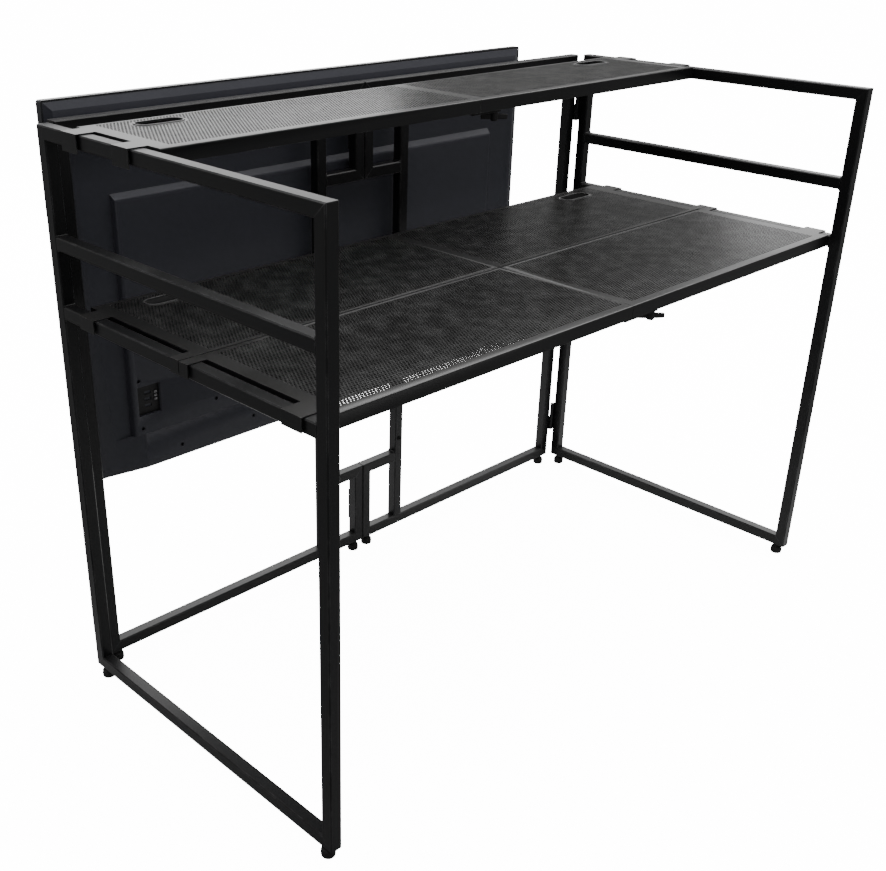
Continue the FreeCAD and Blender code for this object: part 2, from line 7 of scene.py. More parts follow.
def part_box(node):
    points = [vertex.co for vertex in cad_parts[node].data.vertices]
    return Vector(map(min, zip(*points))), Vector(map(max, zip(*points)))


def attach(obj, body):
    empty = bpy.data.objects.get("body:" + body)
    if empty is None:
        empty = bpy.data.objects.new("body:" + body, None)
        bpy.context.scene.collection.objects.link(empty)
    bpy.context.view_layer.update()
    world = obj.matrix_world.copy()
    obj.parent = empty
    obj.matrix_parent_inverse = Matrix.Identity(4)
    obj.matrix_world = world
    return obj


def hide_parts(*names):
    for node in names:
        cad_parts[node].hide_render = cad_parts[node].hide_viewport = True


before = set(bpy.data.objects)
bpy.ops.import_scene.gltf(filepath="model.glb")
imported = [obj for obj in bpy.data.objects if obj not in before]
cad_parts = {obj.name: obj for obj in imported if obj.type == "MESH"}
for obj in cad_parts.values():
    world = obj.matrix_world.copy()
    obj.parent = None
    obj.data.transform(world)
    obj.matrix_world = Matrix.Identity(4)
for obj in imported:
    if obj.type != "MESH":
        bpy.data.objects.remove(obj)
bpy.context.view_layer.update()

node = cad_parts

# Side frames and front frame: 25 mm square steel tube, sawn to mitres, welded, ground flush and
# sprayed with satin black powder coat. The coat has a fine orange peel, greys a little along the
# edges that hands and cases rub, and gathers dust on top. The edge grey is set light and wide enough
# to paint highlight lines along the tube edges as well.
tube_black = (0.0062, 0.0062, 0.0067, 1)
# edge grey: wear where hands rub, set light enough to be painted highlight lines along the tube edges too
rubbed_and_highlight_grey = (0.1, 0.1, 0.103, 1)
dust_grey = (0.16, 0.155, 0.145, 1)
peel_depth = 0.0003


def add(tree, kind, inputs=(), **settings):
    """Add a node to a tree, set its options, and set or link its inputs."""
    made = tree.nodes.new(kind)
    for name, value in settings.items():
        setattr(made, name, value)
    for name, value in dict(inputs).items():
        if isinstance(value, bpy.types.NodeSocket):
            tree.links.new(value, made.inputs[name])
        else:
            made.inputs[name].default_value = value
    return made


def ramp(tree, value, start, stop, low=0.0, high=1.0):
    """A number carried over from one range to another and kept inside it."""
    return add(tree, "ShaderNodeMapRange", {"Value": value, "From Min": start, "From Max": stop,
                                            "To Min": low, "To Max": high}).outputs["Result"]


def times(tree, one, two):
    """The product of two numbers."""
    return add(tree, "ShaderNodeMath", {0: one, 1: two}, operation="MULTIPLY").outputs["Value"]


def noise(tree, scale, detail, roughness=0.5):
    """Cloudy noise that sits on the piece itself."""
    spot = add(tree, "ShaderNodeTexCoord").outputs["Object"]
    return add(tree, "ShaderNodeTexNoise", {"Vector": spot, "Scale": scale, "Detail": detail,
                                            "Roughness": roughness}).outputs["Fac"]


def new_group(name, inputs, outputs):
    """An empty shader node group with number inputs and outputs."""
    tree = bpy.data.node_groups.new(name, "ShaderNodeTree")
    for socket, value in inputs.items():
        made = tree.interface.new_socket(socket, in_out="INPUT", socket_type="NodeSocketFloat")
        made.default_value = value
    for socket in outputs:
        tree.interface.new_socket(socket, in_out="OUTPUT", socket_type="NodeSocketFloat")
    return tree, add(tree, "NodeGroupInput").outputs, add(tree, "NodeGroupOutput").inputs


# the grain of a sprayed or moulded skin, and slow patches over it
grain_group, given, out = new_group("skin grain", {"Grain": 900.0, "Patch": 6.0}, ("Height", "Mottle"))
grain_group.links.new(noise(grain_group, given["Grain"], 2.0), out["Height"])
grain_group.links.new(noise(grain_group, given["Patch"], 5.0), out["Mottle"])

# wear along edges, broken up by patches, which where set light and wide is also painted highlight along the
# edges, and a painted highlight on the bends of folded sheet
rub_and_highlight_group, given, out = new_group("edge rub and painted highlight", {"Width": 0.0012, "Patch": 28.0, "Bend highlight": 0.0}, ("Mask",))
eased = add(rub_and_highlight_group, "ShaderNodeBevel", {"Radius": given["Width"]}, samples=4).outputs["Normal"]
facing = add(rub_and_highlight_group, "ShaderNodeNewGeometry").outputs["Normal"]
lean = add(rub_and_highlight_group, "ShaderNodeVectorMath", {0: eased, 1: facing}, operation="DOT_PRODUCT").outputs["Value"]
patches = ramp(rub_and_highlight_group, noise(rub_and_highlight_group, given["Patch"], 6.0), 0.42, 0.66)
worn = times(rub_and_highlight_group, ramp(rub_and_highlight_group, lean, 1.0, 0.86), patches)
# painted highlight: lighter colour on faces tilted between level and steep, which on folded sheet are the
# bends
tilt = add(rub_and_highlight_group, "ShaderNodeSeparateXYZ", {"Vector": facing}).outputs["Z"]
bend_highlight = times(rub_and_highlight_group, ramp(rub_and_highlight_group, tilt, 0.75, 0.88), ramp(rub_and_highlight_group, tilt, 0.998, 0.975))
bend_highlight = times(rub_and_highlight_group, bend_highlight, given["Bend highlight"])
mask = add(rub_and_highlight_group, "ShaderNodeMath", {0: worn, 1: bend_highlight}, operation="MAXIMUM").outputs["Value"]
rub_and_highlight_group.links.new(mask, out["Mask"])

# dust on faces that look up
dust_group, given, out = new_group("settled dust", {"Amount": 0.2, "Patch": 14.0}, ("Mask",))
facing = add(dust_group, "ShaderNodeNewGeometry").outputs["Normal"]
tilt = add(dust_group, "ShaderNodeSeparateXYZ", {"Vector": facing}).outputs["Z"]
drift = ramp(dust_group, noise(dust_group, given["Patch"], 8.0, 0.65), 0.35, 0.75, 0.75, 1.0)
mask = times(dust_group, times(dust_group, ramp(dust_group, tilt, 0.75, 1.0), drift), given["Amount"])
dust_group.links.new(mask, out["Mask"])


def skin(name, colour, wear_and_highlight_colour, rough, ior, grain, patch, bump, dust, metal=0.0, rub=0.0012, bend=0.0):
    """A sprayed, moulded or plated skin: base colour with worn edges that can be set light enough to paint
    highlight lines, a painted highlight on sheet bends when bend is set, dust, uneven gloss and grain.
    """
    material = bpy.data.materials.new(name)
    material.use_nodes = True
    tree = material.node_tree
    shader = tree.nodes["Principled BSDF"]
    shader.inputs["IOR"].default_value = ior
    shader.inputs["Metallic"].default_value = metal
    fine = add(tree, "ShaderNodeGroup", {"Grain": grain, "Patch": patch}, node_tree=grain_group).outputs
    edges = add(tree, "ShaderNodeGroup", {"Width": rub, "Bend highlight": bend}, node_tree=rub_and_highlight_group).outputs["Mask"]
    settled = add(tree, "ShaderNodeGroup", {"Amount": dust}, node_tree=dust_group).outputs["Mask"]
    mottled = ramp(tree, fine["Mottle"], 0.0, 1.0, 0.88, 1.12)
    base = add(tree, "ShaderNodeMix", {0: 1.0, 6: colour, 7: mottled}, data_type="RGBA", blend_type="MULTIPLY")
    # the edge mask lays the worn colour on: wear, and painted highlight where it is set light and wide or on
    # bends
    rubbed_and_highlit = add(tree, "ShaderNodeMix", {0: edges, 6: base.outputs[2], 7: wear_and_highlight_colour}, data_type="RGBA")
    dusty = add(tree, "ShaderNodeMix", {0: settled, 6: rubbed_and_highlit.outputs[2], 7: dust_grey}, data_type="RGBA")
    gloss = ramp(tree, fine["Mottle"], 0.3, 0.7, rough - 0.02, rough + 0.03)
    relief = add(tree, "ShaderNodeBump", {"Strength": bump, "Distance": peel_depth, "Height": fine["Height"]})
    tree.links.new(dusty.outputs[2], shader.inputs["Base Color"])
    tree.links.new(gloss, shader.inputs["Roughness"])
    tree.links.new(relief.outputs["Normal"], shader.inputs["Normal"])
    return material


def paint(material, *names):
    """Give CAD nodes a material."""
    for name in names:
        node[name].data.materials.clear()
        node[name].data.materials.append(material)


# rub=0.002 widens the edge grey into painted highlight lines along the tubes
frame_paint = skin("satin_black_powder_coat", tube_black, rubbed_and_highlight_grey, rough=0.34, ior=1.4, grain=900.0,
                   patch=6.0, bump=0.1, dust=0.01, rub=0.002)
for side in ("left", "right"):
    paint(frame_paint, *(f"{side}_side_{tube}" for tube in (
        "rear_post", "front_post", "top_rail", "bottom_rail", "table_rail", "guard_rail")))
    paint(frame_paint, *(f"front_{side}_{tube}" for tube in (
        "outer_post", "inner_post", "top_rail", "bottom_rail", "upper_stile", "upper_rail",
        "lower_stile", "lower_rail")))

# Feet: moulded rubber bumpers, round and domed, each on a short shank that is screwed up into the
# underside of a bottom rail. The rubber is dull and dusty.
rubber_black, rubber_grey = (0.012, 0.012, 0.012, 1), (0.03, 0.03, 0.03, 1)
foot_rings = ((0.0105, 0.0), (0.0125, 0.0012), (0.0133, 0.004), (0.0135, 0.008), (0.0133, 0.0125),
              (0.0124, 0.0160), (0.0106, 0.0182), (0.0084, 0.0192), (0.0082, 0.0226), (0.0074, 0.0230),
              (0.0074, 0.0250))
foot_inset = 0.022


def smooth(piece, degrees):
    """Shade a piece smooth over the edges that bend less than an angle."""
    bpy.ops.object.select_all(action="DESELECT")
    piece.select_set(True)
    bpy.context.view_layer.objects.active = piece
    bpy.ops.object.shade_smooth_by_angle(angle=math.radians(degrees))


def turned(rings, sides=32):
    """A round solid stood on the origin, drawn up ring by ring from (radius, height) pairs."""
    bpy.ops.object.select_all(action="DESELECT")
    width, level = rings[0]
    bpy.ops.mesh.primitive_circle_add(vertices=sides, radius=width, fill_type="NGON", location=(0, 0, level))
    piece = bpy.context.object
    bpy.ops.object.mode_set(mode="EDIT")
    bpy.ops.mesh.select_all(action="SELECT")
    for wide, high in rings[1:]:
        bpy.ops.mesh.extrude_region_move(TRANSFORM_OT_translate={"value": (0, 0, high - level)})
        bpy.ops.transform.resize(value=(wide / width, wide / width, 1), center_override=(0, 0, high))
        width, level = wide, high
    bpy.ops.mesh.select_all(action="SELECT")
    bpy.ops.mesh.normals_make_consistent(inside=False)
    bpy.ops.object.mode_set(mode="OBJECT")
    bpy.ops.object.transform_apply(location=True, rotation=True, scale=True)
    smooth(piece, 35)
    return piece


def repeat(master, places):
    """Copies of a finished master, each with its own mesh, set at the places and joined to one piece."""
    copies = []
    for place in places:
        made = master.copy()
        made.data = master.data.copy()
        made.data.transform(place)
        bpy.context.scene.collection.objects.link(made)
        copies.append(made)
    bpy.data.objects.remove(master)
    bpy.ops.object.select_all(action="DESELECT")
    for made in copies:
        made.select_set(True)
    bpy.context.view_layer.objects.active = copies[0]
    bpy.ops.object.join()
    return copies[0]


def fit(piece, name, body, material):
    """Name a finished piece, give it its finish and let it move with a body."""
    piece.name = name
    piece.data.name = name
    piece.data.materials.clear()
    piece.data.materials.append(material)
    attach(piece, body)


foot_rubber = skin("dull_black_rubber", rubber_black, rubber_grey, rough=0.62, ior=1.35, grain=500.0,
                   patch=20.0, bump=0.4, dust=0.06)
paint(foot_rubber, "feet")
spots = []
for side in ("left", "right"):
    low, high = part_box(f"{side}_side_bottom_rail")
    middle = (low.x + high.x) / 2
    spots += [(middle, low.y + foot_inset), (middle, high.y - foot_inset)]
    low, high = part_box(f"front_{side}_bottom_rail")
    middle = (low.y + high.y) / 2
    spots += [(low.x + foot_inset, middle), (high.x - foot_inset, middle)]
feet = repeat(turned(foot_rings), [Matrix.Translation((x, y, 0)) for x, y in spots])
fit(feet, "bumper_feet", "frame", foot_rubber)
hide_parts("feet")

# Butt hinges: pressed steel leaves with rolled knuckles on a pin, screwed to the tubes with small
# cross-head screws. They fold the side frames and the two front halves and are painted with the frame.
hinge_black, hinge_grey = (0.011, 0.011, 0.012, 1), (0.16, 0.16, 0.16, 1)
zinc, rubbed_zinc = (0.42, 0.42, 0.43, 1), (0.6, 0.6, 0.6, 1)
screw_rings = ((0.0036, -0.0002), (0.0036, 0.0004), (0.0033, 0.0009), (0.0026, 0.0013), (0.0015, 0.0015))
cross_reach, cross_half, cross_depth = 0.0021, 0.0004, 0.0008
leaf_height, leaf_thick, screw_inset = 0.08, 0.0025, 0.016
corner_inset, centre_inset = 0.08, 0.06
corner_leaf_back, centre_leaf_out = 0.011, 0.0145


def worked(piece, kind, **settings):
    """Change the mesh of a piece with a modifier."""
    step = piece.modifiers.new(kind.lower(), kind)
    for name, value in settings.items():
        setattr(step, name, value)
    bpy.context.view_layer.objects.active = piece
    bpy.ops.object.modifier_apply(modifier=step.name)


def cut_away(piece, cutter):
    """Cut one piece out of another and remove the cutter."""
    worked(piece, "BOOLEAN", operation="DIFFERENCE", object=cutter, solver="EXACT")
    bpy.data.objects.remove(cutter)


def block(low, high):
    """A plain block between two corners, to be shaped or cut with."""
    bpy.ops.object.select_all(action="DESELECT")
    low, high = Vector(low), Vector(high)
    bpy.ops.mesh.primitive_cube_add(size=1, location=(low + high) / 2, scale=high - low)
    bpy.ops.object.transform_apply(location=True, rotation=True, scale=True)
    return bpy.context.object


hinge_paint = skin("black_hinge_paint", hinge_black, hinge_grey, rough=0.34, ior=1.3, grain=700.0,
                   patch=12.0, bump=0.2, dust=0.03)
bright_steel = skin("zinc_plated_steel", zinc, rubbed_zinc, rough=0.34, ior=1.5, grain=1500.0,
                    patch=60.0, bump=0.1, dust=0.02, metal=1.0)
paint(hinge_paint, "corner_hinge_front_leaves", "corner_hinge_side_leaves", "corner_hinge_pins",
      "centre_hinge_left_leaves", "centre_hinge_right_leaves", "centre_hinge_pins")
screw = turned(screw_rings, 20)
screw_top = screw_rings[-1][1]
for wide, deep in ((cross_reach, cross_half), (cross_half, cross_reach)):
    cut_away(screw, block((-wide, -deep, screw_top - cross_depth), (wide, deep, screw_top + cross_depth)))
facing_front = Matrix.Rotation(math.radians(-90), 4, "X")
screw_rises = (screw_inset, leaf_height - screw_inset)
spots = []
for side, sign in (("left", -1), ("right", 1)):
    facing_out = Matrix.Rotation(math.radians(90 * sign), 4, "Y")
    side_low, side_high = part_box(f"{side}_side_front_post")
    front_low, front_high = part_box(f"front_{side}_outer_post")
    side_x = (side_low.x + side_high.x) / 2
    end_x = (front_high.x if sign > 0 else front_low.x) + sign * leaf_thick
    for bottom in (side_low.z + corner_inset, side_high.z - corner_inset - leaf_height):
        for rise in screw_rises:
            on_side = (side_x, side_high.y + leaf_thick, bottom + rise)
            on_front = (end_x, front_high.y - corner_leaf_back, bottom + rise)
            spots.append(Matrix.Translation(on_side) @ facing_front)
            spots.append(Matrix.Translation(on_front) @ facing_out)
    for bottom in (side_low.z + centre_inset, side_high.z - centre_inset - leaf_height):
        for rise in screw_rises:
            on_centre = (sign * centre_leaf_out, front_high.y + leaf_thick, bottom + rise)
            spots.append(Matrix.Translation(on_centre) @ facing_front)
hinge_screws = repeat(screw, spots)
fit(hinge_screws, "hinge_screws", "frame", bright_steel)

# Trays: pans folded from perforated steel sheet with plain borders, straps that hook over the side
# rails and raised collars round the cable slots, all in black powder coat.
# the sheet's grey is its worn edges and also the painted highlight on its bends and edges
sheet_black, sheet_worn_and_highlight_grey = (0.007, 0.007, 0.0075, 1), (0.17, 0.17, 0.17, 1)
hole_pitch, web, perforated_gauge = 0.0067, 0.0023, 0.0017
first_row, sheet_sink, merge_distance, same_point = 0.0017, 0.00005, 0.0001, 0.000001
border_front = {"table_near": 0.020, "table_far": 0.010, "shelf": 0.020}
border_back = {"table_near": 0.009, "table_far": 0.0135, "shelf": 0.009}
border_seam = {"left": 0.009, "right": 0.022}
border_end, rail_gap, cut_reach = 0.030, 0.008, 0.006
slot_across, slot_from_back = 0.606, 0.05
slot_length, slot_width, slot_lip, slot_land, lip_height = 0.092, 0.034, 0.003, 0.006, 0.0015
lip_slope, lip_round, collar_proud = 0.0008, 0.0006, 0.0001


def choose(piece, kind, test):
    """Select the vertices, edges or faces of a piece in edit mode whose middle passes a test."""
    bpy.ops.mesh.select_all(action="DESELECT")
    bpy.ops.mesh.select_mode(type=kind)
    mesh = bmesh.from_edit_mesh(piece.data)
    if kind == "FACE":
        chosen = [face for face in mesh.faces if test(face.calc_center_median(), face.normal)]
    elif kind == "EDGE":
        chosen = [rim for rim in mesh.edges if test((rim.verts[0].co + rim.verts[1].co) / 2, rim)]
    else:
        chosen = [point for point in mesh.verts if test(point.co, point.normal)]
    for item in chosen:
        item.select_set(True)
    mesh.select_flush_mode()
    bmesh.update_edit_mesh(piece.data)


def perforated(low, high, top, slot=None):
    """A sheet of staggered holes a little larger than the field from low to high, open at a cable slot."""
    row = hole_pitch * math.sqrt(3) / 2
    bpy.ops.object.select_all(action="DESELECT")
    bpy.ops.mesh.primitive_circle_add(vertices=6, radius=hole_pitch / math.sqrt(3), fill_type="NGON",
                                      location=(low[0], low[1] + first_row, top - sheet_sink))
    sheet = bpy.context.object
    bpy.ops.object.mode_set(mode="EDIT")
    bpy.ops.mesh.select_all(action="SELECT")
    bpy.ops.mesh.inset(thickness=web / 2, depth=0)
    bpy.ops.mesh.delete(type="FACE")
    bpy.ops.mesh.select_all(action="SELECT")
    bpy.ops.mesh.duplicate_move(TRANSFORM_OT_translate={"value": (hole_pitch / 2, row, 0)})
    bpy.ops.object.mode_set(mode="OBJECT")
    bpy.ops.object.transform_apply(location=True, rotation=True, scale=True)
    for count, step in ((math.ceil((high[0] - low[0]) / hole_pitch) + 1, (hole_pitch, 0, 0)),
                        (math.ceil((high[1] - low[1]) / (2 * row)), (0, 2 * row, 0))):
        worked(sheet, "ARRAY", count=count, use_relative_offset=False, use_constant_offset=True,
               constant_offset_displace=step, use_merge_vertices=True, merge_threshold=merge_distance)
    bpy.ops.object.mode_set(mode="EDIT")
    bpy.ops.mesh.select_all(action="SELECT")
    bpy.ops.mesh.remove_doubles(threshold=merge_distance)
    if slot:
        run, half = (slot_length - slot_width) / 2, slot_width / 2 + slot_lip
        choose(sheet, "FACE", lambda at, normal: math.hypot(
            max(abs(at.x - slot[0]) - run, 0), at.y - slot[1]) < half)
        bpy.ops.mesh.delete(type="FACE")
    bpy.ops.object.mode_set(mode="OBJECT")
    worked(sheet, "SOLIDIFY", thickness=perforated_gauge, offset=-1)
    return sheet


def slot_collar(slot, top):
    """The pressed collar of a cable slot: a flat land in the sheet and a raised lip round the opening."""
    bpy.ops.object.select_all(action="DESELECT")
    run, reach = (slot_length - slot_width) / 2, slot_width / 2 + slot_lip + slot_land
    thick = perforated_gauge + 2 * collar_proud
    bpy.ops.mesh.primitive_circle_add(vertices=48, radius=reach, fill_type="NGON", location=(0, 0, 0))
    collar = bpy.context.object
    bpy.ops.object.mode_set(mode="EDIT")
    for sign in (-1, 1):
        choose(collar, "VERT", lambda at, normal: at.x * sign > 1e-5)
        bpy.ops.transform.translate(value=(sign * run, 0, 0))
    bpy.ops.mesh.select_all(action="SELECT")
    bpy.ops.mesh.extrude_region_move(TRANSFORM_OT_translate={"value": (0, 0, thick)})
    for width, rise in ((slot_land - lip_slope, 0), (lip_slope, lip_height * 0.8),
                        (lip_round, lip_height * 0.2), (slot_lip - 2 * lip_round, 0),
                        (lip_round, -lip_height * 0.3)):
        bpy.ops.mesh.inset(thickness=width, depth=rise)
    bpy.ops.mesh.extrude_region_move(TRANSFORM_OT_translate={"value": (0, 0, -lip_height * 0.7 - thick)})
    bpy.ops.mesh.delete(type="FACE")
    choose(collar, "FACE", lambda at, normal: abs(at.z) < 1e-6 and abs(normal.z) > 0.9)
    bpy.ops.mesh.delete(type="ONLY_FACE")
    choose(collar, "EDGE", lambda at, rim: rim.is_boundary)
    bpy.ops.mesh.bridge_edge_loops()
    bpy.ops.mesh.select_all(action="SELECT")
    bpy.ops.mesh.normals_make_consistent(inside=False)
    bpy.ops.object.mode_set(mode="OBJECT")
    collar.data.transform(Matrix.Translation((*slot, top - perforated_gauge - collar_proud)))
    smooth(collar, 40)
    return collar


def working_copy(name):
    """A merged copy of a CAD piece to be worked on."""
    piece = node[name].copy()
    piece.data = node[name].data.copy()
    piece.parent = None
    bpy.context.scene.collection.objects.link(piece)
    bpy.ops.object.select_all(action="DESELECT")
    piece.select_set(True)
    bpy.context.view_layer.objects.active = piece
    bpy.ops.object.mode_set(mode="EDIT")
    bpy.ops.mesh.select_all(action="SELECT")
    bpy.ops.mesh.remove_doubles(threshold=same_point)
    bpy.ops.mesh.dissolve_limited(angle_limit=math.radians(0.5))
    bpy.ops.object.mode_set(mode="OBJECT")
    return piece


# bend=0.7 lays a painted highlight on the bends of the pans
tray_paint = skin("black_sheet_powder_coat", sheet_black, sheet_worn_and_highlight_grey, rough=0.3, ior=1.4, grain=1300.0,
                  patch=2.5, bump=0.06, dust=0.1, rub=0.0009, bend=0.7)
for tray, slotted in (("table_near", False), ("table_far", True), ("shelf", True)):
    for side, sign in (("left", -1), ("right", 1)):
        name = f"{tray}_{side}"
        low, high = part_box(name)
        rail_low, rail_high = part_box(f"{side}_side_top_rail")
        inner = abs(rail_low.x if sign > 0 else rail_high.x)
        top = high.z
        ends = sorted((sign * border_seam[side], sign * (inner - rail_gap - border_end)))
        field_low = (ends[0], low.y + border_front[tray])
        field_high = (ends[1], high.y - border_back[tray])
        slot = (sign * slot_across, high.y - slot_from_back) if slotted else None
        pan = working_copy(name)
        cut_away(pan, block((*field_low, top - cut_reach), (*field_high, top + cut_reach)))
        smooth(pan, 32)
        fit(pan, f"{name}_pan", tray, tray_paint)
        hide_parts(name)
        sheet = perforated(field_low, field_high, top, slot)
        fit(sheet, f"{name}_perforated_sheet", tray, tray_paint)
        if slot:
            collar = slot_collar(slot, top)
            fit(collar, f"{name}_slot_collar", tray, tray_paint)
        paint(tray_paint, name)

# Latches: a black painted steel bar on a stud swings under each seam and is turned by a moulded wing
# knob. The seam hinge's pin is plain steel rod.
knob_black, knob_grey = (0.014, 0.014, 0.014, 1), (0.05, 0.05, 0.05, 1)
bracket_black, bracket_grey = (0.009, 0.009, 0.009, 1), (0.12, 0.12, 0.12, 1)
hub_rings = ((0.0052, 0.0), (0.0066, 0.0006), (0.0074, 0.0022), (0.0078, 0.0080), (0.0080, 0.0155),
             (0.0076, 0.0174), (0.0064, 0.0180))
wing_span, wing_low, wing_high, wing_thick, wing_turn = 0.054, 0.003, 0.014, 0.007, -40
wing_pinch, wing_flatten = (0, 0, 0.008), 0.94
wing_thinning = ((wing_span * 0.5, 0.62), (wing_span * 0.25, 0.86))
knob_plastic = skin("moulded_black_knob", knob_black, knob_grey, rough=0.45, ior=1.4, grain=1400.0,
                    patch=30.0, bump=0.25, dust=0.04)
bracket_paint = skin("black_bracket_paint", bracket_black, bracket_grey, rough=0.42, ior=1.3, grain=900.0,
                     patch=10.0, bump=0.25, dust=0.03)
for tray in ("table_near", "table_far", "shelf"):
    paint(bright_steel, f"{tray}_hinge_pin")
    paint(bracket_paint, f"{tray}_latch_bar")
    paint(knob_plastic, f"{tray}_latch_knob")
    low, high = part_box(f"{tray}_latch_knob")
    knob = turned(hub_rings, 36)
    wing = block((-wing_span / 2, -wing_thick / 2, wing_low), (wing_span / 2, wing_thick / 2, wing_high))
    bpy.ops.object.mode_set(mode="EDIT")
    bpy.ops.mesh.select_all(action="SELECT")
    bpy.ops.mesh.subdivide(number_cuts=3)
    # the wings thin towards their tips and droop a little
    for reach, thin in wing_thinning:
        choose(wing, "VERT", lambda at, normal: abs(abs(at.x) - reach) < 1e-4)
        bpy.ops.transform.resize(value=(1, thin, wing_flatten), center_override=wing_pinch)
    bpy.ops.object.mode_set(mode="OBJECT")
    worked(wing, "SUBSURF", levels=2, render_levels=2)
    worked(knob, "BOOLEAN", operation="UNION", object=wing)
    bpy.data.objects.remove(wing)
    knob.data.transform(Matrix.Translation(((low.x + high.x) / 2, (low.y + high.y) / 2, low.z))
                        @ Matrix.Rotation(math.radians(wing_turn), 4, "Z"))
    smooth(knob, 40)
    fit(knob, f"{tray}_wing_knob", f"{tray}_latch", knob_plastic)
    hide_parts(f"{tray}_latch_knob")

# Welds: short rippled beads in the corners where the guard and table rails meet the side posts and
# where the short rails of the centre boxes meet the inner posts, under the frame's own paint.
bead_end, bead_low, bead_high = 0.0012, 0.0021, 0.0025
bead_length, bead_start, bead_step, bead_inset = 0.0240, 0.001, 0.0021, 0.0005
bead_rings = [(bead_end, 0.0)]
bead_rings += [(bead_low if step % 2 else bead_high, bead_start + bead_step * step) for step in range(11)]
bead_rings += [(bead_end, bead_length)]
facing_right = Matrix.Rotation(math.radians(90), 4, "Y")
facing_back = Matrix.Rotation(math.radians(90), 4, "X")
spots = []
for side in ("left", "right"):
    for tube in ("guard_rail", "table_rail"):
        low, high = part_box(f"{side}_side_{tube}")
        for y in (low.y, high.y):
            for z in (low.z, high.z):
                spots.append(Matrix.Translation((low.x + bead_inset, y, z)) @ facing_right)
    post_low, post_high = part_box(f"front_{side}_inner_post")
    edge_x = post_low.x if side == "right" else post_high.x
    for level in ("upper", "lower"):
        low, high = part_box(f"front_{side}_{level}_rail")
        for z in (low.z, high.z):
            spots.append(Matrix.Translation((edge_x, low.y + bead_length + bead_inset, z)) @ facing_back)
weld_beads = repeat(turned(bead_rings, 12), spots)
fit(weld_beads, "weld_beads", "frame", frame_paint)

# Screen bracket: two channels of folded steel across the inner posts, held by button-head bolts, and
# two arms on the screen whose hooks drop into them.
bolt_rings = ((0.0052, -0.0002), (0.0056, 0.0006), (0.0054, 0.0018), (0.0044, 0.0028), (0.0030, 0.0033),
              (0.0026, 0.0034), (0.0024, 0.0016))
low_bolt, channel_half = 0.267, 0.015
paint(bracket_paint, "hanger_rails", "screen_arms")
rails_low, rails_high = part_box("hanger_rails")
spots = []
for side in ("left", "right"):
    low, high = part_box(f"front_{side}_inner_post")
    for level in (low_bolt, rails_low.z + channel_half, rails_high.z - channel_half):
        spots.append(Matrix.Translation(((low.x + high.x) / 2, low.y, level)) @ facing_back)
bracket_bolts = repeat(turned(bolt_rings, 24), spots)
fit(bracket_bolts, "bracket_bolts", "frame", bracket_paint)

# Screen: a flat panel in a thin metal-look bezel, with a moulded back cover of grained bluish grey
# plastic, a thicker housing low on its back and a port recess at the housing's edge. The mouldings
# have soft edges and sunk screw holes.
back_grey, back_worn = (0.042, 0.0435, 0.055, 1), (0.09, 0.09, 0.095, 1)
bezel_grey, bezel_worn = (0.05, 0.052, 0.056, 1), (0.3, 0.3, 0.3, 1)
glass_black = (0.004, 0.004, 0.005, 1)
port_black, port_grey = (0.012, 0.012, 0.012, 1), (0.03, 0.03, 0.03, 1)
edge_radius = {"screen_housing": 0.0035, "screen_back_cover": 0.008}
screw_holes = {
    "screen_housing": ((-0.585, 0.600), (-0.583, 0.495), (-0.397, 0.511), (0.251, 0.511), (0.437, 0.600)),
    "screen_back_cover": ((-0.491, 0.431), (-0.298, 0.441), (0.152, 0.441), (0.345, 0.431))}
hole_rings = ((0.0045, 0.0), (0.0045, 0.002), (0.0036, 0.0032), (0.0036, 0.009))
hole_start, long_edge, rim_clear = 0.0015, 0.1, 0.002
chin_fold, fold_near = 0.482, 0.001
plug_low, plug_high = (-0.0028, -0.0022, -0.0018), (0.0028, 0.0012, 0.0018)
socket_low, socket_high = (-0.0021, -0.003, -0.0011), (0.0021, 0.0006, 0.0011)
plug_inset, plug_rises = 0.009, (-0.004, 0.004, 0.012)
screen_back = skin("grained_screen_back", back_grey, back_worn, rough=0.44, ior=1.4, grain=1700.0,
                   patch=4.0, bump=0.2, dust=0.03)
screen_rim = skin("brushed_grey_bezel", bezel_grey, bezel_worn, rough=0.3, ior=1.45, grain=800.0,
                  patch=8.0, bump=0.1, dust=0.02, metal=0.6)
screen_glass = skin("dark_screen_glass", glass_black, glass_black, rough=0.13, ior=1.5, grain=60.0,
                    patch=3.0, bump=0.01, dust=0.0)
port_plastic = skin("black_port_plastic", port_black, port_grey, rough=0.5, ior=1.4, grain=1500.0,
                    patch=20.0, bump=0.2, dust=0.02)
paint(screen_back, "screen_back_cover", "screen_housing")
paint(screen_rim, "screen_bezel")
paint(screen_glass, "screen_panel")
paint(port_plastic, "screen_port_plate")
back_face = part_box("screen_housing")[0].y
for name, holes in screw_holes.items():
    low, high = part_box(name)
    moulding = working_copy(name)
    bpy.ops.object.mode_set(mode="EDIT")
    choose(moulding, "EDGE", lambda at, rim: rim.calc_length() > long_edge and rim.is_convex
           and rim.calc_face_angle(0) > math.radians(8) and at.y < high.y - rim_clear
           and abs(at.z - chin_fold) > fold_near)
    bpy.ops.mesh.bevel(offset=edge_radius[name], segments=3, affect="EDGES")
    bpy.ops.object.mode_set(mode="OBJECT")
    for x, z in holes:
        cutter = turned(hole_rings, 24)
        cutter.data.transform(Matrix.Translation((x, back_face - hole_start, z)) @ facing_front)
        cut_away(moulding, cutter)
    smooth(moulding, 30)
    fit(moulding, f"{name}_moulding", "screen", screen_back)
    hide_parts(name)
port_low, port_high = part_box("screen_port_plate")
connector = block(plug_low, plug_high)
cut_away(connector, block(socket_low, socket_high))
port_middle = (port_low.z + port_high.z) / 2
connectors = repeat(connector, [Matrix.Translation((port_high.x - plug_inset, port_low.y, port_middle + rise))
                                for rise in plug_rises])
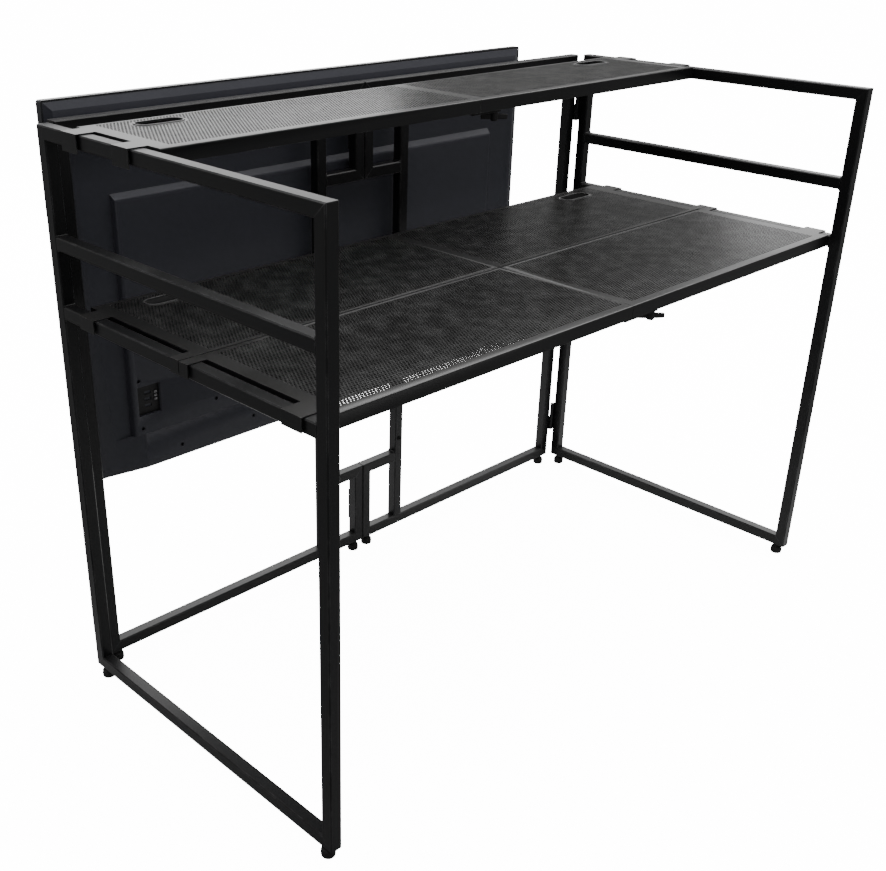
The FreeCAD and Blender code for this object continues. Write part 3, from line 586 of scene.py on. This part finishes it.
fit(connectors, "port_connectors", "screen", bright_steel)

# Floor and light: a white studio floor and backdrop under a wide soft overhead light, with two panels,
# behind the booth and to its right, that streak its upper faces. Camera rays see the stage brighter than
# the booth does, and the floor throws more light back near the booth than farther out.
white = (1, 1, 1, 1)
floor_seen, floor_glow = 0.9, 14.0
bounce_centre, bounce_near, bounce_far, bounce_most, bounce_least = (0.4, 0.3, 0), 0.6, 1.5, 0.65, 0.1
world_light, world_seen = 0.3, 15.0
overhead_power, overhead_spread, overhead_lean = 4.4, 100, (-6, 12, 0)
bpy.ops.object.select_all(action="DESELECT")
bpy.ops.mesh.primitive_plane_add(size=60, location=(0, 0, 0))
floor = bpy.context.object
floor.name = "studio_floor"
floor_white = bpy.data.materials.new("pale_floor")
floor_white.use_nodes = True
tree = floor_white.node_tree
shader = tree.nodes["Principled BSDF"]
shader.inputs["Roughness"].default_value = 0.8
shader.inputs["Emission Color"].default_value = white
seen = add(tree, "ShaderNodeLightPath").outputs["Is Camera Ray"]
spot = add(tree, "ShaderNodeTexCoord").outputs["Object"]
reach = add(tree, "ShaderNodeVectorMath", {0: spot, 1: bounce_centre}, operation="DISTANCE").outputs["Value"]
bounce = ramp(tree, reach, bounce_near, bounce_far, bounce_most, bounce_least)
tree.links.new(ramp(tree, seen, 0.0, 1.0, bounce, floor_seen), shader.inputs["Base Color"])
tree.links.new(ramp(tree, seen, 0.0, 1.0, 0.0, floor_glow), shader.inputs["Emission Strength"])
floor.data.materials.append(floor_white)
world = bpy.data.worlds.new("white_studio")
world.use_nodes = True
tree = world.node_tree
sky = tree.nodes["Background"].inputs
seen = add(tree, "ShaderNodeLightPath").outputs["Is Camera Ray"]
tree.links.new(ramp(tree, seen, 0.0, 1.0, world_light, world_seen), sky["Strength"])
sky["Color"].default_value = white
bpy.context.scene.world = world
bpy.ops.object.light_add(type="SUN", location=(0, 0, 5))
overhead = bpy.context.object
overhead.name = "overhead_softbox"
overhead.data.energy = overhead_power
overhead.data.angle = math.radians(overhead_spread)
overhead.rotation_euler = [math.radians(angle) for angle in overhead_lean]
for name, at, aim, wide, tall, power in (
        ("back_panel", (2.2, 4.4, 1.9), (-0.4, 0.13, 1.14), 2.8, 1.9, 42),
        ("side_panel", (4.3, 1.05, 1.9), (0.6, -0.2, 0.82), 1.4, 1.5, 14)):
    bpy.ops.object.light_add(type="AREA", location=at)
    lamp = bpy.context.object
    lamp.name = name
    lamp.data.shape = "RECTANGLE"
    lamp.data.size, lamp.data.size_y = wide, tall
    lamp.data.energy = power
    lamp.rotation_euler = (Vector(aim) - Vector(at)).to_track_quat("-Z", "Y").to_euler()

# Camera: a standing operator's view from the left and above, as the photograph was taken. Its place,
# angles, lens and shift come from the calibration of the photograph.
stand = (-1.7432, -1.5247, 1.4901)
yaw, pitch, roll = (math.radians(angle) for angle in (43.9514, 25.8515, 0.6636))
bpy.ops.object.camera_add()
camera = bpy.context.object
ahead = Vector((math.sin(yaw) * math.cos(pitch), math.cos(yaw) * math.cos(pitch), -math.sin(pitch)))
right = Vector((math.cos(yaw), -math.sin(yaw), 0))
above = right.cross(ahead)
right, above = (math.cos(roll) * right + math.sin(roll) * above,
                math.cos(roll) * above - math.sin(roll) * right)
camera.matrix_world = Matrix((
    (right.x, above.x, -ahead.x, stand[0]),
    (right.y, above.y, -ahead.y, stand[1]),
    (right.z, above.z, -ahead.z, stand[2]),
    (0, 0, 0, 1)))
camera.data.sensor_width = 36
camera.data.lens = 47.116
camera.data.shift_x = 0.07391
camera.data.shift_y = 0.02394
bpy.context.scene.camera = camera
